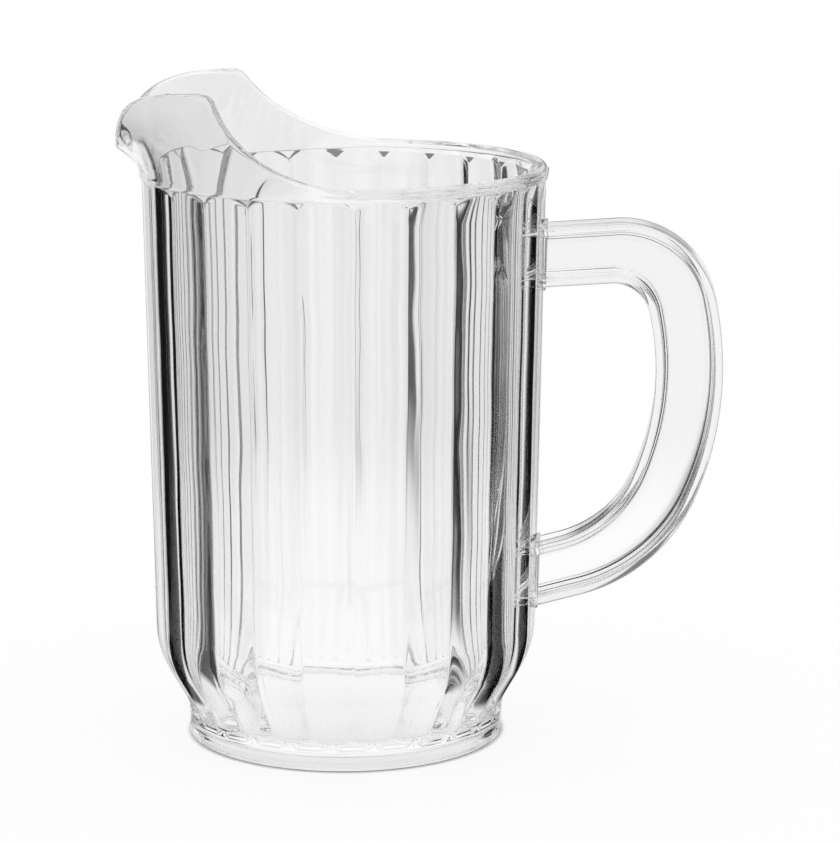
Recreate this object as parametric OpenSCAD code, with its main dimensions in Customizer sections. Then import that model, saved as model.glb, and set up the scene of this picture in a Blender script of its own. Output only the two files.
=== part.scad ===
// Beer pitcher of clear moulded plastic: a barrel of rounded flutes that draws in to a foot ring, a collar
// that sweeps up into a pouring spout, and an I-section handle. Millimetres, +Z up, the origin at the centre
// of the resting plane, +X towards the handle and -X towards the spout.

/* [Body] */
// Diameter over the flute crests at the top of the barrel
crest_top_d = 128.8; // [120:0.2:138]
// Diameter over the flute crests at the corner where the base draws in
crest_low_d = 123.3; // [114:0.1:130]
// Height of the flute tops, where the collar begins
flute_top_h = 182; // [170:1:200]
// Wall thickness from a crest to the smooth inner face
wall = 4.4; // [3.6:0.1:5]

/* [Flutes] */
// Number of flutes round the body
flute_count = 24; // [20:1:30]
// Depth of the grooves between the rounded flutes
flute_depth = 1.7; // [1.2:0.1:2.2]
// Height over which the grooves grow shallow under the collar
flute_top_run = 2.5; // [1:0.1:5]
// How far the bottom of a groove has risen where it meets the collar
flute_top_rise = 1.2; // [0.5:0.1:1.6]
// Height over which the grooves run out above the foot ring
flute_foot_run = 4; // [2:0.1:6]

/* [Base] */
// Height of the corner where the barrel turns in to the base
base_corner_h = 28.7; // [24:0.1:36]
// Radius that rounds that corner
base_corner_r = 32; // [15:0.5:45]
// Height where the base's slope meets the upright foot
neck_h = 10.3; // [9:0.1:13]
// Diameter of the foot
foot_d = 102; // [92:0.5:110]
// Height of the foot ring
foot_h = 8; // [6:0.1:9]
// Rounding of the foot ring's lower outer edge
foot_edge_r = 1.2; // [0.4:0.1:2]
// Thickness of the floor
floor_t = 4; // [2.5:0.1:5]

/* [Rim] */
// How far the smooth collar stands out beyond the flute crests
collar_proud = 0.4; // [0:0.1:1.2]
// Thickness of the collar and the spout wall at the rim
collar_t = 3.2; // [2.4:0.1:4]
// Height of the collar on the handle side, from the flute tops to the rim
collar_h = 4; // [3:0.1:8]
// How far the rim band stands out from the collar
band_t = 0.5; // [0.3:0.1:1]
// Angle that the rim band covers, in degrees
band_sweep = 180; // [120:1:186]

/* [Spout] */
// Height of the two spout shoulders above the rim
shoulder_rise = 25; // [15:0.5:38]
// Angle from the middle of the spout to each shoulder
shoulder_angle = 49; // [42:1:58]
// How far the shoulders lean inwards
shoulder_lean = 7.5; // [2:0.5:9]
// Angle from the middle of the spout to where the rim begins to rise
rise_angle = 96; // [86:1:110]
// Height of the pouring lip above the rim
lip_rise = 5; // [2:0.5:12]
// Reach of the pouring lip beyond the collar
lip_overhang = 8.7; // [5:0.1:15]

/* [Handle] */
// How far the handle's centreline starts below the flute tops
top_root_drop = 24.9; // [18:0.1:34]
// How far the handle's centreline ends above the corner of the base
low_root_rise = 25; // [20:0.1:36]
// Angle at which the upper arm rises from the body
arm_angle = 4; // [0:0.5:8]
// Length of the straight upper arm
arm_len = 21; // [14:0.5:28]
// Centreline radius of the top bend
top_bend_r = 21.4; // [16:0.1:28]
// Angle of the top bend
top_bend_angle = 81.5; // [76:0.5:88]
// Angle of the long bend of the grip
grip_angle = 36; // [28:0.5:40]
// Centreline radius of the lower bend
low_bend_r = 46; // [38:0.5:54]
// Angle of the lower bend
low_bend_angle = 51; // [44:0.5:58]
// Depth of the handle at its roots
root_depth = 18.6; // [16:0.1:22]
// Depth of the handle at the grip
grip_depth = 21.4; // [18:0.1:25]
// Width of the two flanges
flange_w = 17; // [14:0.5:22]
// Thickness of the two flanges
flange_t = 2.6; // [2:0.1:3.5]
// Thickness of the web between them
web_t = 3; // [2:0.1:5]
// How far the handle's ends stand off the flute crests
root_stand = 0.9; // [0.5:0.1:2]
// Width of the two root pads
pad_w = 15; // [10:0.5:16]
// How far a root pad reaches above and below the handle
pad_margin = 1.5; // [0.5:0.1:3]

/* [Hidden] */
$fn = 120;

plastic = [0.86, 0.9, 0.92, 0.45];
flute_facets = 6;
run_steps = 4;
corner_steps = 6;
spout_steps = 64;
wall_steps = 7;
rim_steps = 4;
bend_facet_angle = 5;
seat_gap = 0.05;
cut_over = 8;

flute_angle = 360 / flute_count;
facet_angle = flute_angle / flute_facets;
columns = flute_count * flute_facets;
crest_top_r = crest_top_d / 2;
crest_low_r = crest_low_d / 2;
foot_r = foot_d / 2;
collar_r = crest_top_r + collar_proud;
rim_h = flute_top_h + collar_h;
shoulder_h = rim_h + shoulder_rise;
lip_h = rim_h + lip_rise;
lip_reach = collar_r + lip_overhang;
top_root_h = flute_top_h - top_root_drop;
low_root_h = base_corner_h + low_root_rise;
rise_from_handle = 180 - rise_angle;

// The line of the crests, the slope of the base and the arc that joins them
wall_lean = atan((crest_top_r - crest_low_r) / (flute_top_h - base_corner_h));
slope = atan((crest_low_r - foot_r) / (base_corner_h - neck_h));
slope_len = (base_corner_h - neck_h) / cos(slope);
half_turn = (slope - wall_lean) / 2;
corner_share = 0.85;
corner_reach = min(base_corner_r * tan(half_turn), corner_share * slope_len);
corner_r = corner_reach / tan(half_turn);
turn_h = base_corner_h + corner_reach * cos(wall_lean);
turn_r = crest_low_r + corner_reach * sin(wall_lean);
corner_mid = [turn_r - corner_r * cos(wall_lean), turn_h + corner_r * sin(wall_lean)];

function crest_r(z) = crest_low_r + (z - base_corner_h) * tan(wall_lean);
function on_corner(lean, r) = corner_mid + r * [cos(lean), -sin(lean)];

// The floor fills the inner circle that the base's inner slope leaves at the top of the foot ring
slope_end_in = on_corner(slope, corner_r - wall);
floor_r = slope_end_in[0] - (slope_end_in[1] - foot_h) * tan(slope);

// How far the outside lies below the crests at an angle round the body, for grooves that have risen by lift
function bed(angle, lift) =
    let (across = ((angle + flute_angle / 2) % flute_angle) / flute_angle * 2 - 1)
    min(flute_depth * across * across, max(0, flute_depth - lift));

function ring(r, z, lift) = [
    for (i = [0 : columns - 1])
        let (angle = i * facet_angle, reach = r - bed(angle, lift))
        [reach * cos(angle), reach * sin(angle), z]
];

// A closed solid from rings that run up the outside and down the inside
module ring_solid(rings) {
    rows = len(rings);
    faces = [
        for (k = [0 : rows - 1], i = [0 : columns - 1])
            let (
                up = (k + 1) % rows,
                on = (i + 1) % columns,
                a = k * columns + i,
                b = k * columns + on,
                c = up * columns + on,
                d = up * columns + i
            )
            each [[a, d, c], [a, c, b]]
    ];
    polyhedron([for (r = rings) each r], faces);
}

module barrel() {
    run_start = flute_top_h - flute_top_run;
    outside = [
        ring(crest_r(turn_h), turn_h, 0),
        for (i = [0 : run_steps])
            let (z = run_start + flute_top_run * i / run_steps)
            ring(crest_r(z), z, flute_top_rise * i / run_steps)
    ];
    inside = [
        ring(crest_r(flute_top_h) - wall, flute_top_h, flute_depth),
        ring(crest_r(turn_h) - wall, turn_h, flute_depth)
    ];
    color(plastic) ring_solid(concat(outside, inside));
}

function foot_lift(z) = flute_depth * min(1, max(0, (foot_h + flute_foot_run - z) / flute_foot_run));

module base_taper() {
    run_top = max(foot_h + flute_foot_run, neck_h + flute_depth / 2);
    neck = [
        for (i = [0 : run_steps - 1])
            let (z = foot_h + (neck_h - foot_h) * i / run_steps)
            ring(foot_r, z, foot_lift(z))
    ];
    run = [
        for (i = [0 : run_steps / 2])
            let (z = neck_h + (run_top - neck_h) * i / run_steps * 2)
            ring(foot_r + (z - neck_h) * tan(slope), z, foot_lift(z))
    ];
    corner = [
        for (i = [0 : corner_steps])
            let (p = on_corner(slope + (wall_lean - slope) * i / corner_steps, corner_r))
            ring(p[0], p[1], 0)
    ];
    corner_in = [
        for (i = [corner_steps - 1 : -1 : 0])
            let (p = on_corner(slope + (wall_lean - slope) * i / corner_steps, corner_r - wall))
            ring(p[0], p[1], flute_depth)
    ];
    inside = [
        ring(turn_r - wall, turn_h, flute_depth),
        each corner_in,
        ring(floor_r, foot_h, flute_depth)
    ];
    color(plastic) ring_solid(concat(neck, run, corner, inside));
}

module floor() {
    color(plastic) translate([0, 0, foot_h - floor_t]) cylinder(h = floor_t, r = floor_r);
}

module foot_ring() {
    color(plastic) rotate_extrude() {
        translate([floor_r, foot_edge_r]) square([foot_r - floor_r, foot_h - foot_edge_r]);
        translate([floor_r, 0]) square([foot_r - floor_r - foot_edge_r, foot_edge_r]);
        translate([foot_r - foot_edge_r, foot_edge_r]) circle(foot_edge_r);
    }
}

// The collar is thicker at its foot, where its inside runs on from the barrel's
foot_t = collar_proud + wall;

module rear_collar() {
    round_h = rim_h - collar_t / 2;
    color(plastic) rotate([0, 0, -rise_from_handle]) rotate_extrude(angle = 2 * rise_from_handle) {
        polygon([[collar_r, flute_top_h], [collar_r, round_h], [collar_r - collar_t, round_h],
            [collar_r - foot_t, flute_top_h]]);
        translate([collar_r - collar_t / 2, round_h]) circle(d = collar_t);
    }
}

module rim_band() {
    color(plastic) rotate([0, 0, -band_sweep / 2]) rotate_extrude(angle = band_sweep)
        translate([collar_r, flute_top_h]) square([band_t, rim_h - collar_t / 2 - flute_top_h]);
}

// Rim height by the angle from the middle of the spout: the sweep up from the handle side, and the dip
// between the shoulders, with the lower of the two blended over their crossing
rim_blend = 1.5;
sweep_power = 1.8;
dip_power = 3.2;
nose_power = 1.35;
lip_ease = 0.12;
flare_power = 1.7;
lean_power = 1.5;
function rising(off) =
    let (way = max(0, (rise_angle - off) / (rise_angle - shoulder_angle)))
    rim_h + (shoulder_h - rim_h) * pow(way, sweep_power);
function soft(q) = sqrt(q * q + lip_ease * lip_ease) - lip_ease;
function eased(q) = soft(q) / soft(1);
function dipping(off) =
    let (way = eased(min(1, off / shoulder_angle)))
    lip_h + (shoulder_h + rim_blend - lip_h) * (1 - pow(1 - way, dip_power));
function lower(a, b) =
    let (h = max(rim_blend * 2 - abs(a - b), 0) / (rim_blend * 2))
    min(a, b) - h * h * rim_blend / 2;
function rim_at(off) = lower(rising(off), dipping(off));

// Reach of the rim: leaning in towards the shoulders, and out to the lip
function rim_reach(off) =
    let (
        high = max(0, (rim_at(off) - rim_h) / (shoulder_h - rim_h)),
        side = collar_r - shoulder_lean * pow(high, lean_power),
        nose = (1 + cos(180 * pow(min(1, off / shoulder_angle), nose_power))) / 2
    )
    side + (lip_reach - collar_t / 2 - side) * nose;

// Closed section of the spout wall in the upright plane at an angle from the middle of the spout
function spout_section(off) =
    let (
        grow = rim_reach(off) - collar_r,
        rise = rim_at(off) - collar_t / 2 - flute_top_h,
        way = function(t) [grow * flare_power * pow(t, flare_power - 1), rise] /
            norm([grow * flare_power * pow(t, flare_power - 1), rise]),
        skin = function(t) [collar_r + grow * pow(t, flare_power), flute_top_h + rise * t],
        across = function(t) [-way(t)[1], way(t)[0]],
        thick = function(t) foot_t + (collar_t - foot_t) * t,
        top = skin(1) + across(1) * collar_t / 2
    )
    concat(
        [for (k = [0 : wall_steps]) skin(k / wall_steps)],
        [for (k = [1 : rim_steps - 1])
            let (turn = 180 * k / rim_steps)
            top - across(1) * cos(turn) * collar_t / 2 + way(1) * sin(turn) * collar_t / 2],
        [for (k = [wall_steps : -1 : 1])
            let (t = k / wall_steps)
            skin(t) + across(t) * thick(t)],
        [[collar_r - foot_t, flute_top_h]]
    );

module spout() {
    sections = [
        for (i = [0 : spout_steps])
            let (angle = rise_from_handle + 2 * rise_angle * i / spout_steps)
            [for (p = spout_section(abs(180 - angle))) [p[0] * cos(angle), p[0] * sin(angle), p[1]]]
    ];
    size = len(sections[0]);
    sides = [
        for (i = [0 : spout_steps - 1], k = [0 : size - 1])
            let (
                up = (k + 1) % size,
                a = i * size + k,
                b = (i + 1) * size + k,
                c = (i + 1) * size + up,
                d = i * size + up
            )
            each [[a, d, c], [a, c, b]]
    ];
    half = (size - 1) / 2;
    end_faces = [
        for (k = [0 : half - 1])
            each [[k, size - 1 - k, k + 1], if (k < half - 1) [k + 1, size - 1 - k, size - 2 - k]]
    ];
    far_end = spout_steps * size;
    last_end = [for (f = end_faces) [far_end + f[0], far_end + f[2], far_end + f[1]]];
    color(plastic) polyhedron([for (s = sections) each s], concat(sides, end_faces, last_end));
}

// The handle's centreline: a straight arm, three tangent bends and a straight run back to the wall,
// as [x, z, heading] with both ends carried on past the plane that cuts them
function bend(from, r, turn) =
    let (steps = ceil(turn / bend_facet_angle))
    [for (i = [1 : steps])
        let (a = from[2] - turn * i / steps)
        [from[0] + r * (sin(from[2]) - sin(a)), from[1] + r * (cos(a) - cos(from[2])), a]];
function ahead(from, run) =
    [from[0] + run * cos(from[2]), from[1] + run * sin(from[2]), from[2]];
function last(list) = list[len(list) - 1];

arm_start = [crest_r(top_root_h) + root_stand, top_root_h, arm_angle];
arm_end = ahead(arm_start, arm_len);
top_points = bend(arm_end, top_bend_r, top_bend_angle);
grip_start = last(top_points);
grip_heading = grip_start[2] - grip_angle;
low_heading = grip_heading - low_bend_angle;
low_root = [crest_r(low_root_h) + root_stand, low_root_h, low_heading];

// The grip's radius is the one at which the lower run comes out at its root
low_turn = low_bend_r * [sin(grip_heading) - sin(low_heading), cos(low_heading) - cos(grip_heading)];
grip_turn = [sin(grip_start[2]) - sin(grip_heading), cos(grip_heading) - cos(grip_start[2])];
to_root = [low_root[0] - grip_start[0], low_root[1] - grip_start[1]] - low_turn;
grip_r = (to_root[0] * sin(low_heading) - to_root[1] * cos(low_heading)) /
    (grip_turn[0] * sin(low_heading) - grip_turn[1] * cos(low_heading));
grip_points = bend(grip_start, grip_r, grip_angle);
low_points = bend(last(grip_points), low_bend_r, low_bend_angle);
centreline = concat(
    [ahead(arm_start, -cut_over), arm_end], top_points, grip_points, low_points, [ahead(low_root, cut_over)]);

// Half of the handle's depth, which grows from the roots to the grip with the turn of the centreline
function half_depth(heading) =
    let (turned = (arm_angle - heading) / (arm_angle - low_heading))
    (root_depth + (grip_depth - root_depth) * sin(180 * turned)) / 2;
function beside(p, off) = [p[0] - off * sin(p[2]), p[1] + off * cos(p[2])];
function edge(side, inset) = [for (p = centreline) beside(p, side * (half_depth(p[2]) - inset))];
function reversed(list) = [for (i = [len(list) - 1 : -1 : 0]) list[i]];

// The frame of the barrel's wall at the handle: its origin on the crest line, +Z up along that line
module wall_frame() {
    translate([crest_low_r, 0, base_corner_h]) rotate([0, wall_lean, 0]) children();
}

module handle_strip(edge_a, edge_b, width) {
    room = grip_depth + arm_len + top_bend_r + grip_r + low_bend_r;
    color(plastic) intersection() {
        rotate([90, 0, 0]) linear_extrude(height = width, center = true)
            polygon(concat(edge_a, reversed(edge_b)));
        wall_frame() translate([root_stand, -width, -base_corner_h])
            cube([room, width * 2, flute_top_h * 2]);
    }
}

module handle_web() {
    handle_strip(edge(1, flange_t), edge(-1, flange_t), web_t);
}

module handle_outer_flange() {
    handle_strip(edge(1, 0), edge(1, flange_t), flange_w);
}

module handle_inner_flange() {
    handle_strip(edge(-1, flange_t), edge(-1, 0), flange_w);
}

// A root pad joins one end of the handle to the rounded flute behind it: its back follows the flute's crest
module root_pad(mid_h, half_h) {
    half_flute = flute_angle / 2 * PI / 180;
    mid_r = crest_r(mid_h);
    round_r = mid_r * mid_r / (mid_r + 2 * flute_depth / (half_flute * half_flute));
    foot = (mid_h - base_corner_h) / cos(wall_lean) - half_h;
    color(plastic) wall_frame() difference() {
        translate([-flute_depth, -pad_w / 2, foot]) cube([flute_depth + root_stand, pad_w, 2 * half_h]);
        translate([seat_gap - round_r, 0, foot - cut_over])
            cylinder(h = 2 * (half_h + cut_over), r = round_r);
    }
}

module upper_root_pad() {
    root_pad(top_root_h, root_depth / 2 / cos(arm_angle) + pad_margin);
}

module lower_root_pad() {
    root_pad(low_root_h, -root_depth / 2 / cos(low_heading) + pad_margin);
}

barrel();
base_taper();
floor();
foot_ring();
rear_collar();
spout();
rim_band();
upper_root_pad();
lower_root_pad();
handle_web();
handle_outer_flange();
handle_inner_flange();
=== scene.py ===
import math

import bpy
from mathutils import Matrix, Vector


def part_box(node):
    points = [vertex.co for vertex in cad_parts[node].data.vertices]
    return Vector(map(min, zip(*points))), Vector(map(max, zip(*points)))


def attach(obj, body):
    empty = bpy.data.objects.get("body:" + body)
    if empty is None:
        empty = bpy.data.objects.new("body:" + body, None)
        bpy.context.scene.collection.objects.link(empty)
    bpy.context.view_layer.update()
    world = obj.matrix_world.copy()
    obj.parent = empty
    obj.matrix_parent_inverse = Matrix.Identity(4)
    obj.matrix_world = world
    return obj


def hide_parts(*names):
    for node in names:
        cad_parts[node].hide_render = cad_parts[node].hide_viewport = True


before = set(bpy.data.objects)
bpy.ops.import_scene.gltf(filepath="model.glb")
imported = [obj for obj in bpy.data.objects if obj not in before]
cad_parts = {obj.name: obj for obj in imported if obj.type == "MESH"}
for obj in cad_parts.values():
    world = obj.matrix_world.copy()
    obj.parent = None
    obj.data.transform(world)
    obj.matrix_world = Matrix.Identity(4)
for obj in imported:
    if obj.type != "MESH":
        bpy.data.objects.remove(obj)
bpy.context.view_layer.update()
mm = 0.001  # the pitcher is worked out in millimetres and scaled when its meshes are made
print("frame loaded with", len(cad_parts), "nodes")


def nodeSpan(name):  # lowest and highest corner of a CAD node, in mm
    low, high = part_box(name)
    return low / mm, high / mm


def sinDeg(angle):
    return math.sin(math.radians(angle))


def cosDeg(angle):
    return math.cos(math.radians(angle))


def steps(start, end, count):  # evenly spaced values, both ends included
    return [start + (end - start) * i / (count - 1) for i in range(count)]


def arc(centre, radius, start, end, count):  # points on an arc in the (radius, height) plane
    turns = steps(start, end, count)
    return [(centre[0] + radius * cosDeg(a), centre[1] + radius * sinDeg(a)) for a in turns]


# body: one moulded shell from the foot to the rim

body = {
    "fluteCount": 24,
    "fluteDepth": 1.7,
    "fluteTopRun": 2.5,  # height over which the grooves grow shallow under the collar
    "fluteTopRise": 1.4,  # by how much they do
    "fluteFootRun": 1.2,  # height over which they run out above the foot
    "flutePlaces": (0, 0.18, 0.36, 0.52, 0.66, 0.78, 0.86, 0.92, 0.96, 0.985),  # columns over half a flute
    "grooveSoft": 0.05,  # share of half a flute over which a groove is rounded
    "edgeSoft": 0.12,  # rounding of the arches at the ends of the flutes
    "edgeRun": 0.3,  # rise over which that rounding sets in
    "sway": 0.09,  # how far the flutes waver to the side, in degrees
    "swayEase": (25.0, 12.0),  # heights over which that dies out above the foot and under the collar
    "swayWaves": ((0.16, 5, 1.0), (0.083, -9, 1.0), (0.31, 3, 0.5)),  # radians per mm, waves round, share
    "wall": 4.4,
    "crestLow": 61.65,  # crest radius at the corner of the base
    "cornerHeight": 28.7,
    "cornerRadius": 32.0,
    "neckHeight": 10.3,
    "neckSoft": 0.5,
    "footEdge": 1.2,
    "footInnerEdge": 0.8,
    "recessFillet": 1.0,
    "floorFillet": 5.0,
    "collarProud": 0.4,
    "collarThick": 3.2,
    "collarEdge": 0.22,
    "bandHalfAngle": 90.0,
    "bandEndAngle": 1.6,
    "bandTop": 2.2,  # height of the proud band above the flutes
    "barrelRows": 42,
    "cornerRows": 22,
    "insideRows": 18,
    "sharpAngle": 50,
}

spout = {
    "shoulderRise": 24.88,
    "shoulderAngle": 49.0,
    "shoulderLean": 7.5,
    "riseAngle": 96.0,
    "lipRise": 5.0,
    "lipOverhang": 8.66,
    "rimBlend": 1.5,
    "sweepPower": 1.8,
    "dipPower": 3.2,
    "nosePower": 1.35,
    "lipEase": 0.12,
    "flarePower": 1.7,
    "leanPower": 1.5,
}

footHigh = nodeSpan("foot_ring")[1]
footRadius, footTop = footHigh.x, footHigh.z
floorRadius = nodeSpan("floor")[1].x
floorUnder = nodeSpan("floor")[0].z
fluteTop = nodeSpan("barrel")[1].z
collarRadius, rimHeight = nodeSpan("rear_collar")[1].x, nodeSpan("rear_collar")[1].z
bandProud = nodeSpan("rim_band")[1].x - collarRadius

crestTop = collarRadius - body["collarProud"]
wallLean = math.degrees(math.atan2(crestTop - body["crestLow"], fluteTop - body["cornerHeight"]))
baseSlope = math.degrees(math.atan2(body["crestLow"] - footRadius, body["cornerHeight"] - body["neckHeight"]))
cornerReach = body["cornerRadius"] * math.tan(math.radians((baseSlope - wallLean) / 2))
turnHeight = body["cornerHeight"] + cornerReach * cosDeg(wallLean)
turnRadius = body["crestLow"] + cornerReach * sinDeg(wallLean)
cornerMid = (
    turnRadius - body["cornerRadius"] * cosDeg(wallLean),
    turnHeight + body["cornerRadius"] * sinDeg(wallLean),
)


def crestRadius(z):
    return body["crestLow"] + (z - body["cornerHeight"]) * math.tan(math.radians(wallLean))


def softMax(a, soft):  # max(a, 0) with a rounded corner
    return (a + math.sqrt(a * a + soft * soft)) / 2


def fluteBed(across, lift):  # how far the outside lies below the crests at -1..1 across a flute
    soft = body["grooveSoft"]
    eased = (math.hypot(1 - abs(across), soft) - soft) / (math.hypot(1, soft) - soft)
    depth = body["fluteDepth"] * (1 - eased) ** 2
    if lift <= 0:
        return depth
    room = max(0, body["fluteDepth"] - lift)  # what is left of the grooves once they have risen by lift
    return room - softMax(room - depth, body["edgeSoft"] * min(1, lift / body["edgeRun"]))


def sway(angle, z):  # the slight waver of a moulded flute, which dies out at its ends
    low, high = body["swayEase"]
    ends = min(1, max(0, (z - footTop) / low)) * min(1, max(0, (fluteTop - z) / high))
    turn = math.radians(angle)
    waves = [share * math.sin(up * z + around * turn) for up, around, share in body["swayWaves"]]
    return body["sway"] * ends * sum(waves)


def rimAt(off):  # rim height by the angle from the middle of the spout
    top = rimHeight + spout["shoulderRise"]
    lip = rimHeight + spout["lipRise"]
    way = max(0, (spout["riseAngle"] - off) / (spout["riseAngle"] - spout["shoulderAngle"]))
    rising = rimHeight + spout["shoulderRise"] * way ** spout["sweepPower"]
    ease = spout["lipEase"]
    share = min(1, off / spout["shoulderAngle"])
    eased = (math.hypot(share, ease) - ease) / (math.hypot(1, ease) - ease)
    dipping = lip + (top + spout["rimBlend"] - lip) * (1 - (1 - eased) ** spout["dipPower"])
    near = max(spout["rimBlend"] * 2 - abs(rising - dipping), 0) / (spout["rimBlend"] * 2)
    return min(rising, dipping) - near * near * spout["rimBlend"] / 2


def rimReach(off):  # outer radius of the wall at the rim
    high = max(0, (rimAt(off) - rimHeight) / spout["shoulderRise"])
    side = collarRadius - spout["shoulderLean"] * high ** spout["leanPower"]
    nose = (1 + cosDeg(180 * min(1, off / spout["shoulderAngle"]) ** spout["nosePower"])) / 2
    lip = collarRadius + spout["lipOverhang"] - body["collarThick"] / 2
    return side + (lip - side) * nose


def collarSection(off, band):  # outside of the collar or spout up to the rim, and down the inside
    thick = body["collarThick"]
    grow = rimReach(off) - collarRadius
    rise = rimAt(off) - thick / 2 - fluteTop
    power = spout["flarePower"]

    def skin(t):
        return Vector((collarRadius + grow * t ** power, fluteTop + rise * t))

    def heading(t):
        return Vector((grow * power * t ** (power - 1), rise)).normalized()

    def inward(t):
        way = heading(t)
        return Vector((-way.y, way.x))

    foot = body["collarProud"] + body["wall"]  # the collar's inside runs on from the barrel's
    edge = body["collarEdge"]
    bandTop = body["bandTop"]
    bevel = 0.3  # how far the middle of a rounded edge lies from its corner, as a share of the edge
    reach = collarRadius + band
    outside = [(reach - edge, fluteTop), (reach - edge * bevel, fluteTop + edge * bevel)]
    outside += [(reach, fluteTop + edge)]
    for height, share in ((bandTop / 2, 1), (bandTop - edge, 1), (bandTop - edge / 3, 1 - bevel), (bandTop, 0)):
        point = skin(height / rise)
        outside.append((point.x + band * share, point.y))
    outside += [tuple(skin(t)) for t in steps(bandTop / rise, 1, 16)[1:]]
    top = skin(1) + inward(1) * thick / 2
    crest = []
    for turn in steps(0, 180, 11)[1:-1]:
        back, up = inward(1) * cosDeg(turn), heading(1) * sinDeg(turn)
        crest.append(tuple(top - back * thick / 2 + up * thick / 2))
    inside = [tuple(skin(t) + inward(t) * (foot + (thick - foot) * t)) for t in steps(1, 0, 15)[:-1]]
    return outside + crest + inside


def footRows():  # from the middle of the recess under the floor to the top of the foot ring
    fillet = body["recessFillet"]
    inner = body["footInnerEdge"]
    edge = body["footEdge"]
    rows = [(r, floorUnder) for r in (floorRadius * 0.25, floorRadius * 0.5, floorRadius * 0.75)]
    rows += arc((floorRadius - fillet, floorUnder - fillet), fillet, 90, 0, 5)
    rows += [(floorRadius, (floorUnder - fillet + inner) / 2)]
    rows += arc((floorRadius + inner, inner), inner, 180, 270, 5)
    rows += [((floorRadius + footRadius) / 2, 0)]
    rows += arc((footRadius - edge, edge), edge, 270, 360, 7)
    rows += [(footRadius, z) for z in steps(edge, footTop, 5)[1:-1]]
    return rows


def flutedRows():  # (radius, height, lift) up the fluted outside
    rows = []
    runTop = footTop + body["fluteFootRun"]
    slopeEnd = cornerMid[1] - body["cornerRadius"] * sinDeg(baseSlope)
    for z in steps(footTop, runTop, 7) + steps(runTop, slopeEnd, 6)[1:-1]:
        out = softMax((z - body["neckHeight"]) * math.tan(math.radians(baseSlope)), body["neckSoft"])
        lift = body["fluteDepth"] * max(0, (runTop - z) / body["fluteFootRun"])
        rows.append((footRadius + out, z, lift))
    for r, z in arc(cornerMid, body["cornerRadius"], -baseSlope, -wallLean, body["cornerRows"]):
        rows.append((r, z, 0))
    runStart = fluteTop - body["fluteTopRun"]
    for z in steps(turnHeight, runStart, body["barrelRows"])[1:-1]:
        rows.append((crestRadius(z), z, 0))
    for share in steps(0, 1, 10):
        z = runStart + body["fluteTopRun"] * share
        rows.append((crestRadius(z), z, body["fluteTopRise"] * share))
    return rows


def insideRows():  # down the smooth inside to the middle of the floor
    inner = body["cornerRadius"] - body["wall"]
    count = body["insideRows"]
    rows = [(crestRadius(z) - body["wall"], z) for z in steps(fluteTop, turnHeight, count)[:-1]]
    rows += arc(cornerMid, inner, -wallLean, -baseSlope, count)
    fillet = body["floorFillet"]
    tangent = fillet * math.tan(math.radians((90 - baseSlope) / 2))
    start = (floorRadius + tangent * sinDeg(baseSlope), footTop + tangent * cosDeg(baseSlope))
    mid = (start[0] - fillet * cosDeg(baseSlope), start[1] + fillet * sinDeg(baseSlope))
    rows.append(((rows[-1][0] + start[0]) / 2, (rows[-1][1] + start[1]) / 2))
    rows += arc(mid, fillet, -baseSlope, -90, 12)
    rows += [(rows[-1][0] * share, footTop) for share in (0.75, 0.5, 0.25)]
    return rows


def acrossFlute():  # columns across one flute, closer together near the grooves
    half = body["flutePlaces"]
    return [-1] + [-a for a in reversed(half[1:])] + list(half)


def bodyMesh():
    foot, fluted, inside = footRows(), flutedRows(), insideRows()
    columns = []
    fluteAngle = 360 / body["fluteCount"]
    for i in range(body["fluteCount"]):
        for across in acrossFlute():
            angle = (i + across / 2) * fluteAngle
            fromHandle = abs((angle + 180) % 360 - 180)
            ends = (body["bandHalfAngle"] - fromHandle) / body["bandEndAngle"] + 0.5
            band = bandProud * min(1, max(0, ends))
            profile = [(r, z, angle) for r, z in foot]
            profile += [(r - fluteBed(across, lift), z, angle + sway(angle, z)) for r, z, lift in fluted]
            profile += [(r, z, angle) for r, z in collarSection(180 - fromHandle, band) + inside]
            columns.append([(r * cosDeg(a), r * sinDeg(a), z) for r, z, a in profile])
    count, size = len(columns), len(columns[0])
    points = [p for column in columns for p in column]
    points += [(0, 0, floorUnder), (0, 0, footTop)]
    under, over = len(points) - 2, len(points) - 1
    faces = []
    for i in range(count):
        here, there = i * size, (i + 1) % count * size
        faces.append((under, there, here))
        faces.append((over, here + size - 1, there + size - 1))
        for k in range(size - 1):
            faces.append((here + k, there + k, there + k + 1, here + k + 1))
    return points, faces


def makePiece(name, points, faces):
    mesh = bpy.data.meshes.new(name)
    mesh.from_pydata([Vector(p) * mm for p in points], [], faces)
    mesh.validate()
    piece = bpy.data.objects.new(name, mesh)
    bpy.context.scene.collection.objects.link(piece)
    return piece


def smoothPiece(piece, angle):  # smooth shading that keeps edges sharper than the angle
    piece.data.shade_smooth()
    piece.data.set_sharp_from_angle(angle=math.radians(angle))


pitcherBody = makePiece("pitcher_body", *bodyMesh())
smoothPiece(pitcherBody, body["sharpAngle"])
print("body made with", len(pitcherBody.data.polygons), "faces")


# handle: an I-section swept along a straight arm, three bends and a straight run back

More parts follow.
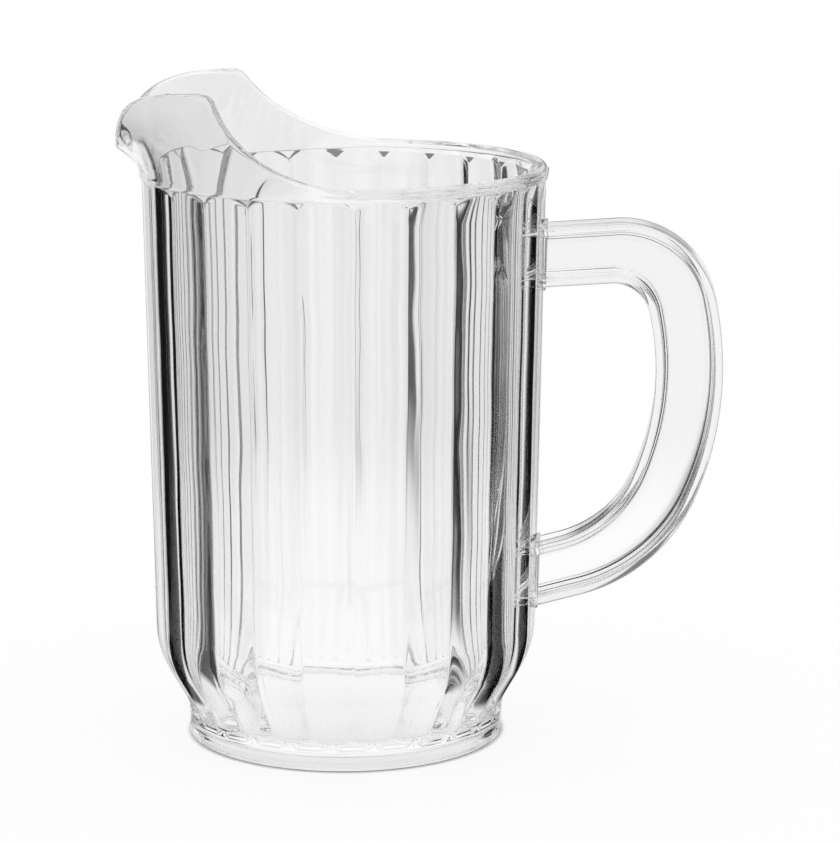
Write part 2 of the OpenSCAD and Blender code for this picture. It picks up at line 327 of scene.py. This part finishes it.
handle = {
    "topRootDrop": 24.9,
    "lowRootRise": 25.0,
    "armAngle": 4.0,
    "armLength": 21.0,
    "topBendRadius": 21.4,
    "topBendAngle": 81.5,
    "gripAngle": 36.0,
    "lowBendRadius": 46.0,
    "lowBendAngle": 51.0,
    "rootDepth": 18.6,
    "gripDepth": 21.38,
    "flangeWidth": 17.0,
    "flangeThick": 2.6,
    "flangeEdge": 0.45,
    "webThick": 3.0,
    "webFillet": 1.8,
    "rootStand": 0.9,  # how far the ends stand off the crests
    "sunk": 3.0,  # how deep the ends go into the wall before the wall is cut out of them
    "seat": 0.03,  # how far the cut ends then sit in the wall
    "padWidth": 15.0,
    "padMargin": 1.5,
    "padCorner": 2.0,
    "padEdge": 0.5,
    "padSunk": 2.6,
    "bendStep": 2.5,
    "sharpAngle": 40,
}


def bend(start, radius, turn):
    count = math.ceil(turn / handle["bendStep"])
    x, z, heading = start
    points = []
    for i in range(1, count + 1):
        a = heading - turn * i / count
        out = radius * (sinDeg(heading) - sinDeg(a))
        up = radius * (cosDeg(a) - cosDeg(heading))
        points.append((x + out, z + up, a))
    return points


def ahead(start, run):
    x, z, heading = start
    return (x + run * cosDeg(heading), z + run * sinDeg(heading), heading)


def handlePath():
    topHeight = fluteTop - handle["topRootDrop"]
    lowHeight = body["cornerHeight"] + handle["lowRootRise"]
    armStart = (crestRadius(topHeight) + handle["rootStand"], topHeight, handle["armAngle"])
    armEnd = ahead(armStart, handle["armLength"])
    top = bend(armEnd, handle["topBendRadius"], handle["topBendAngle"])
    x, z, topHeading = top[-1]
    gripHeading = topHeading - handle["gripAngle"]
    lowHeading = gripHeading - handle["lowBendAngle"]
    lowRoot = (crestRadius(lowHeight) + handle["rootStand"], lowHeight, lowHeading)
    lowTurn = handle["lowBendRadius"]
    toX = lowRoot[0] - x - lowTurn * (sinDeg(gripHeading) - sinDeg(lowHeading))
    toZ = lowRoot[1] - z - lowTurn * (cosDeg(lowHeading) - cosDeg(gripHeading))
    turnX = sinDeg(topHeading) - sinDeg(gripHeading)
    turnZ = cosDeg(gripHeading) - cosDeg(topHeading)
    gripRadius = (toX * sinDeg(lowHeading) - toZ * cosDeg(lowHeading)) / (
        turnX * sinDeg(lowHeading) - turnZ * cosDeg(lowHeading))
    grip = bend(top[-1], gripRadius, handle["gripAngle"])
    low = bend(grip[-1], lowTurn, handle["lowBendAngle"])
    arm = [ahead(armStart, run) for run in steps(0, handle["armLength"], 7)]
    lowRun = math.hypot(lowRoot[0] - low[-1][0], lowRoot[1] - low[-1][1])
    back = [ahead(low[-1], run) for run in steps(0, lowRun, 4)[1:]]
    return arm + top + grip + low + back, lowHeading


def handleSection(half):  # closed loop of (depth, width) points round the I-section
    wide, thick = handle["flangeWidth"] / 2, handle["flangeThick"]
    edge, web, fillet = handle["flangeEdge"], handle["webThick"] / 2, handle["webFillet"]
    quarter = [(half, wide * share) for share in (0, 0.35, 0.7)]
    quarter += arc((half - edge, wide - edge), edge, 0, 90, 6)
    quarter += arc((half - thick + edge, wide - edge), edge, 90, 180, 6)
    quarter += [(half - thick, (wide - edge + web + fillet) / 2)]
    quarter += [(half - thick - fillet + fillet * sinDeg(a), web + fillet - fillet * cosDeg(a))
                for a in steps(90, 0, 6)]
    quarter += [((half - thick - fillet) / 2, web), (0, web)]
    mirrored = [(-x, y) for x, y in reversed(quarter[:-1])]
    upper = quarter + mirrored
    return upper + [(x, -y) for x, y in reversed(upper[1:-1])]


def sinkToWall(point, heading, way):  # slides a point of an end loop along the path into the wall
    lean = (sinDeg(wallLean), cosDeg(wallLean))
    across = (lean[1], -lean[0])
    offX, offZ = point[0] - body["crestLow"], point[2] - body["cornerHeight"]
    out = offX * across[0] + offZ * across[1] + handle["sunk"]
    run = -out / ((cosDeg(heading) * across[0] + sinDeg(heading) * across[1]) * way)
    return (point[0] + run * way * cosDeg(heading), point[1], point[2] + run * way * sinDeg(heading))


def handleMesh():
    path, lowHeading = handlePath()
    loops = []
    for x, z, heading in path:
        turned = (handle["armAngle"] - heading) / (handle["armAngle"] - lowHeading)
        swell = (handle["gripDepth"] - handle["rootDepth"]) * sinDeg(180 * turned)
        half = (handle["rootDepth"] + swell) / 2
        loops.append([(x - off * sinDeg(heading), side, z + off * cosDeg(heading))
                      for off, side in handleSection(half)])
    first = [sinkToWall(p, path[0][2], -1) for p in loops[0]]
    last = [sinkToWall(p, path[-1][2], 1) for p in loops[-1]]
    loops = [first] + loops + [last]
    size = len(loops[0])
    points = [p for loop in loops for p in loop]
    faces = [tuple(range(size)), tuple(reversed(range(len(points) - size, len(points))))]
    for i in range(len(loops) - 1):
        for k in range(size):
            here, there, on = i * size, (i + 1) * size, (k + 1) % size
            faces.append((here + k, there + k, there + on, here + on))
    return points, faces


def rootPad(heading, root):  # rounded block between a flute and an end of the handle
    half = handle["rootDepth"] / 2 / abs(cosDeg(heading)) + handle["padMargin"]
    wide, edge, corner = handle["padWidth"] / 2, handle["padEdge"], handle["padCorner"]
    lean, up = math.radians(wallLean), root[1] - body["cornerHeight"]
    rounding = [(edge * sinDeg(a), edge - edge * cosDeg(a)) for a in steps(0, 90, 5)]
    loops = []
    for out, inset in [(-handle["padSunk"], 0)] + [(handle["rootStand"] - edge + o, i) for o, i in rounding]:
        corners = []
        for side, top, turn in ((1, 1, 0), (-1, 1, 90), (-1, -1, 180), (1, -1, 270)):
            for a in steps(turn, turn + 90, 6):
                corners.append((out, side * (wide - corner) + (corner - inset) * cosDeg(a),
                                up + top * (half - corner) + (corner - inset) * sinDeg(a)))
        loops.append(corners)
    size = len(loops[0])
    points = []
    for loop in loops:
        for out, side, rise in loop:
            points.append((body["crestLow"] + out * math.cos(lean) + rise * math.sin(lean), side,
                           body["cornerHeight"] - out * math.sin(lean) + rise * math.cos(lean)))
    faces = [tuple(reversed(range(size))), tuple(range(len(points) - size, len(points)))]
    for i in range(len(loops) - 1):
        for k in range(size):
            here, there, on = i * size, (i + 1) * size, (k + 1) % size
            faces.append((here + k, here + on, there + on, there + k))
    return points, faces


def joinPieces(piece, other, operation):  # boolean with another closed piece, written into the mesh
    change = piece.modifiers.new(operation.lower(), "BOOLEAN")
    change.operation, change.object, change.solver = operation, other, "MANIFOLD"
    mesh = bpy.data.meshes.new_from_object(piece.evaluated_get(bpy.context.evaluated_depsgraph_get()))
    piece.modifiers.remove(change)
    mesh.materials.clear()
    piece.data = mesh


def dropPiece(piece):
    bpy.data.objects.remove(piece)


def makeHandle():
    path, lowHeading = handlePath()
    whole = makePiece("pitcher_handle", *handleMesh())
    for heading, root in ((handle["armAngle"], path[0]), (lowHeading, path[-1])):
        pad = makePiece("root_pad", *rootPad(heading, root))
        joinPieces(whole, pad, "UNION")
        dropPiece(pad)
    joinPieces(whole, pitcherBody, "DIFFERENCE")
    whole.data.transform(Matrix.Translation((-handle["seat"] * mm, 0, 0)))
    smoothPiece(whole, handle["sharpAngle"])
    return whole


pitcherHandle = makeHandle()
print("handle made with", len(pitcherHandle.data.polygons), "faces")


# shader maths on sockets

class Wire:
    def __init__(self, tree, socket):
        self.tree, self.socket = tree, socket

    def math(self, operation, a, b):
        return addNode(self.tree, "ShaderNodeMath", {"operation": operation}, {0: a, 1: b})

    def __add__(self, other):
        return self.math("ADD", self, other)

    def __radd__(self, other):
        return self.math("ADD", other, self)

    def __sub__(self, other):
        return self.math("SUBTRACT", self, other)

    def __rsub__(self, other):
        return self.math("SUBTRACT", other, self)

    def __mul__(self, other):
        return self.math("MULTIPLY", self, other)

    def __rmul__(self, other):
        return self.math("MULTIPLY", other, self)

    def __truediv__(self, other):
        return self.math("DIVIDE", self, other)

    def __rtruediv__(self, other):
        return self.math("DIVIDE", other, self)

    def maximum(self, other):
        return self.math("MAXIMUM", self, other)

    def absolute(self):
        return self.math("ABSOLUTE", self, 0)

    def angleFrom(self, other):
        return self.math("ARCTAN2", self, other)


def addNode(tree, kind, settings=None, inputs=None, out=0):
    node = tree.nodes.new(kind)
    for key, value in (settings or {}).items():
        setattr(node, key, value)
    for key, value in (inputs or {}).items():
        if isinstance(value, Wire):
            tree.links.new(value.socket, node.inputs[key])
        else:
            node.inputs[key].default_value = value
    return Wire(tree, node.outputs[out]) if node.outputs else None


# clear plastic

plastic = {
    "ior": 1.585,
    "tint": (0.995, 0.996, 0.996, 1),
    "haze": 0.004,
    "hazeSpread": 0.012,
    "hazeScale": 45.0,
    "bodyWave": 0.2,
    "handleWave": 0.003,
    "waveScale": 80.0,
    "waveStretch": (1, 1, 0.35),  # draws the waves out along the height
    "waveDepth": 0.0002,
}


def clearPlastic(name, ripple):
    material = bpy.data.materials.new(name)
    material.use_nodes = True
    tree = material.node_tree
    tree.nodes.clear()
    place = addNode(tree, "ShaderNodeTexCoord", out="Object")
    long = addNode(tree, "ShaderNodeMapping", {}, {"Vector": place, "Scale": plastic["waveStretch"]})
    cloud = addNode(tree, "ShaderNodeTexNoise", {}, {
        "Vector": place, "Scale": plastic["hazeScale"], "Detail": 4.0})
    wave = addNode(tree, "ShaderNodeTexNoise", {}, {
        "Vector": long, "Scale": plastic["waveScale"], "Detail": 1.0})
    haze = plastic["haze"] + plastic["hazeSpread"] * cloud
    normal = addNode(tree, "ShaderNodeBump", {}, {
        "Strength": ripple, "Distance": plastic["waveDepth"], "Height": wave})
    shader = addNode(tree, "ShaderNodeBsdfPrincipled", {}, {
        "Base Color": plastic["tint"],
        "Roughness": haze,
        "IOR": plastic["ior"],
        "Transmission Weight": 1.0,
        "Normal": normal,
    })
    addNode(tree, "ShaderNodeOutputMaterial", {}, {"Surface": shader})
    return material


pitcherBody.data.materials.append(clearPlastic("clear_plastic", plastic["bodyWave"]))
pitcherHandle.data.materials.append(clearPlastic("clear_plastic_handle", plastic["handleWave"]))

bodyNodes = ("barrel", "base_taper", "floor", "foot_ring", "rear_collar", "spout", "rim_band")
handleNodes = (
    "handle_web", "handle_outer_flange", "handle_inner_flange", "upper_root_pad", "lower_root_pad")
for piece, stoodFor in ((pitcherBody, bodyNodes), (pitcherHandle, handleNodes)):
    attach(piece, "root")
    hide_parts(*stoodFor)
print("materials set")


# studio: a white table in a white room, whose dark sides only gloss and clear plastic show

studio = {
    "tableHalf": 1.5,
    "tableDrop": 0.0002,  # keeps the table clear of the foot's lower face
    "tableFront": 0.8,  # level of the table in front of the pitcher, as clear plastic shows it
    "frontBlend": (-0.05, 0.05),  # depths over which that gives way to the table behind
    "tableEnd": (0.28, 0.62),  # distances over which clear plastic begins to see past the table
    "tableLeft": (-0.052, -0.9),  # where its dark sides begin beside the pitcher, and how far they draw apart
    "tableRight": (0.05, 0.53),
    "tableStrip": ((0.045, 0.27), (0.055, 0.35)),  # both edges of a dark strip, in the same way
    "stripStart": (0.1, 0.5),  # distances over which the strip grows dark
    "tableSoft": (0.006, 0.06),  # softness of those edges beside the pitcher, and its growth
    "shadow": 0.12,  # share of the table's own shading that the camera sees
    "contact": (0.0505, 0.0525),  # radii over which that share falls from all to little
    "level": 0.9,  # the room behind, as clear plastic shows it
    "dark": 0.004,
    "leftEdge": (-46.0, -39.0),  # angles from straight behind where the light room begins and ends
    "rightEdge": (23.0, 34.0),
    "stripEdges": (12.0, 14.5, 17.0, 19.0),  # a dark upright strip in the light room
    "stripDepth": 0.95,
    "rightGlow": (54.0, 74.0),  # angles over which the dark right side grows lighter again
    "glowLevel": 0.4,
    "topLight": (0.4, 0.62),  # heights over which the room turns light all round
    "horizon": (-0.06, 0.01, 0.09, 0.17),  # heights over which the room darkens, and lightens again above
    "horizonDepth": 0.8,
    "bounces": 96,  # clear plastic needs more turns of a ray than the usual limits
}


def smoothBand(tree, value, low, high):
    return addNode(tree, "ShaderNodeMapRange", {"interpolation_type": "SMOOTHSTEP"}, {
        "Value": value, "From Min": low, "From Max": high, "To Min": 0.0, "To Max": 1.0})


def seenInPlastic(tree):
    glossy = addNode(tree, "ShaderNodeLightPath", out="Is Glossy Ray")
    through = addNode(tree, "ShaderNodeLightPath", out="Is Transmission Ray")
    return glossy.maximum(through)


def studioTable():
    half, drop = studio["tableHalf"], -studio["tableDrop"]
    corners = [(-half, -half, drop), (half, -half, drop), (half, half, drop), (-half, half, drop)]
    mesh = bpy.data.meshes.new("studio_table")
    mesh.from_pydata(corners, [], [(0, 1, 2, 3)])
    table = bpy.data.objects.new("studio_table", mesh)
    bpy.context.scene.collection.objects.link(table)
    material = bpy.data.materials.new("studio_table")
    material.use_nodes = True
    tree = material.node_tree
    tree.nodes.clear()
    place = addNode(tree, "ShaderNodeTexCoord", out="Object")
    x = addNode(tree, "ShaderNodeSeparateXYZ", {}, {"Vector": place}, "X")
    depth = addNode(tree, "ShaderNodeSeparateXYZ", {}, {"Vector": place}, "Y")
    y = depth.absolute()
    far = addNode(tree, "ShaderNodeVectorMath", {"operation": "LENGTH"}, {0: place}, "Value")
    ending = smoothBand(tree, far, *studio["tableEnd"])
    soft = studio["tableSoft"][0] + studio["tableSoft"][1] * y

    def pastEdge(edge):
        return smoothBand(tree, (x - edge[0] - edge[1] * y) / soft, -1, 1)

    stripLeft, stripRight = studio["tableStrip"]
    inStrip = pastEdge(stripLeft) * (1 - pastEdge(stripRight)) * smoothBand(tree, far, *studio["stripStart"])
    between = pastEdge(studio["tableLeft"]) * (1 - pastEdge(studio["tableRight"]))
    lit = between * (1 - studio["stripDepth"] * inStrip)
    behind = smoothBand(tree, depth, *studio["frontBlend"])
    front = studio["tableFront"] + (1 - studio["tableFront"]) * behind
    level = studio["dark"] + lit * (front - ending * (1 - studio["level"]) - studio["dark"])
    inPlastic = seenInPlastic(tree)
    glow = 1 - inPlastic * (1 - level)
    clean = (1 - studio["shadow"]) * smoothBand(tree, far, *studio["contact"])
    share = inPlastic.maximum(addNode(tree, "ShaderNodeLightPath", out="Is Camera Ray") * clean)
    matte = addNode(tree, "ShaderNodeBsdfDiffuse", {}, {"Color": (1, 1, 1, 1)})
    bright = addNode(tree, "ShaderNodeEmission", {}, {"Color": glow, "Strength": 1.0})
    shown = addNode(tree, "ShaderNodeMixShader", {}, {0: share, 1: matte, 2: bright})
    past = addNode(tree, "ShaderNodeBsdfTransparent")
    shader = addNode(tree, "ShaderNodeMixShader", {}, {0: inPlastic * ending, 1: shown, 2: past})
    addNode(tree, "ShaderNodeOutputMaterial", {}, {"Surface": shader})
    mesh.materials.append(material)


def studioWorld():
    world = bpy.data.worlds.new("studio")
    world.use_nodes = True
    bpy.context.scene.world = world
    tree = world.node_tree
    tree.nodes.clear()
    way = addNode(tree, "ShaderNodeTexCoord", out="Generated")
    x = addNode(tree, "ShaderNodeSeparateXYZ", {}, {"Vector": way}, "X")
    y = addNode(tree, "ShaderNodeSeparateXYZ", {}, {"Vector": way}, "Y")
    z = addNode(tree, "ShaderNodeSeparateXYZ", {}, {"Vector": way}, "Z")
    angle = x.angleFrom(y.absolute()) * math.degrees(1)
    strip = studio["stripEdges"]
    inStrip = smoothBand(tree, angle, *strip[:2]) * (1 - smoothBand(tree, angle, *strip[2:]))
    between = smoothBand(tree, angle, *studio["leftEdge"]) * (1 - smoothBand(tree, angle, *studio["rightEdge"]))
    horizon = studio["horizon"]
    below = 1 - studio["horizonDepth"] * smoothBand(tree, z, *horizon[:2])
    low = between * (1 - studio["stripDepth"] * inStrip) * below
    glow = studio["glowLevel"] * smoothBand(tree, angle, *studio["rightGlow"])
    high = (between * smoothBand(tree, z, *horizon[2:])).maximum(smoothBand(tree, z, *studio["topLight"]))
    lit = low.maximum(high).maximum(glow)
    level = studio["dark"] + lit * (studio["level"] - studio["dark"])
    room = 1 - seenInPlastic(tree) * (1 - level)
    shader = addNode(tree, "ShaderNodeBackground", {}, {"Color": room, "Strength": 1.0})
    addNode(tree, "ShaderNodeOutputWorld", {}, {"Surface": shader})


def lightPaths():
    paths = bpy.context.scene.cycles
    paths.max_bounces = studio["bounces"]
    paths.transmission_bounces = studio["bounces"]
    paths.glossy_bounces = studio["bounces"]


studioTable()
studioWorld()
lightPaths()
print("studio set")


# camera at the photograph's angle

shot = {
    "place": (98.82, -1104.60, 330.47),
    "turn": 3.86,  # heading of the view to the left of +Y, in degrees
    "pitch": 11.63,  # how far it looks down
    "lens": 150.3,
    "sensor": 36,
}


def shotCamera():
    data = bpy.data.cameras.new("shot")
    data.lens = shot["lens"]
    data.sensor_width = shot["sensor"]
    camera = bpy.data.objects.new("shot", data)
    bpy.context.scene.collection.objects.link(camera)
    camera.location = Vector(shot["place"]) * mm
    flat = cosDeg(shot["pitch"])
    look = Vector((-sinDeg(shot["turn"]) * flat, cosDeg(shot["turn"]) * flat, -sinDeg(shot["pitch"])))
    camera.rotation_euler = look.to_track_quat("-Z", "Y").to_euler()
    bpy.context.scene.camera = camera


shotCamera()
bpy.context.scene.view_settings.view_transform = "Standard"
print("camera set")
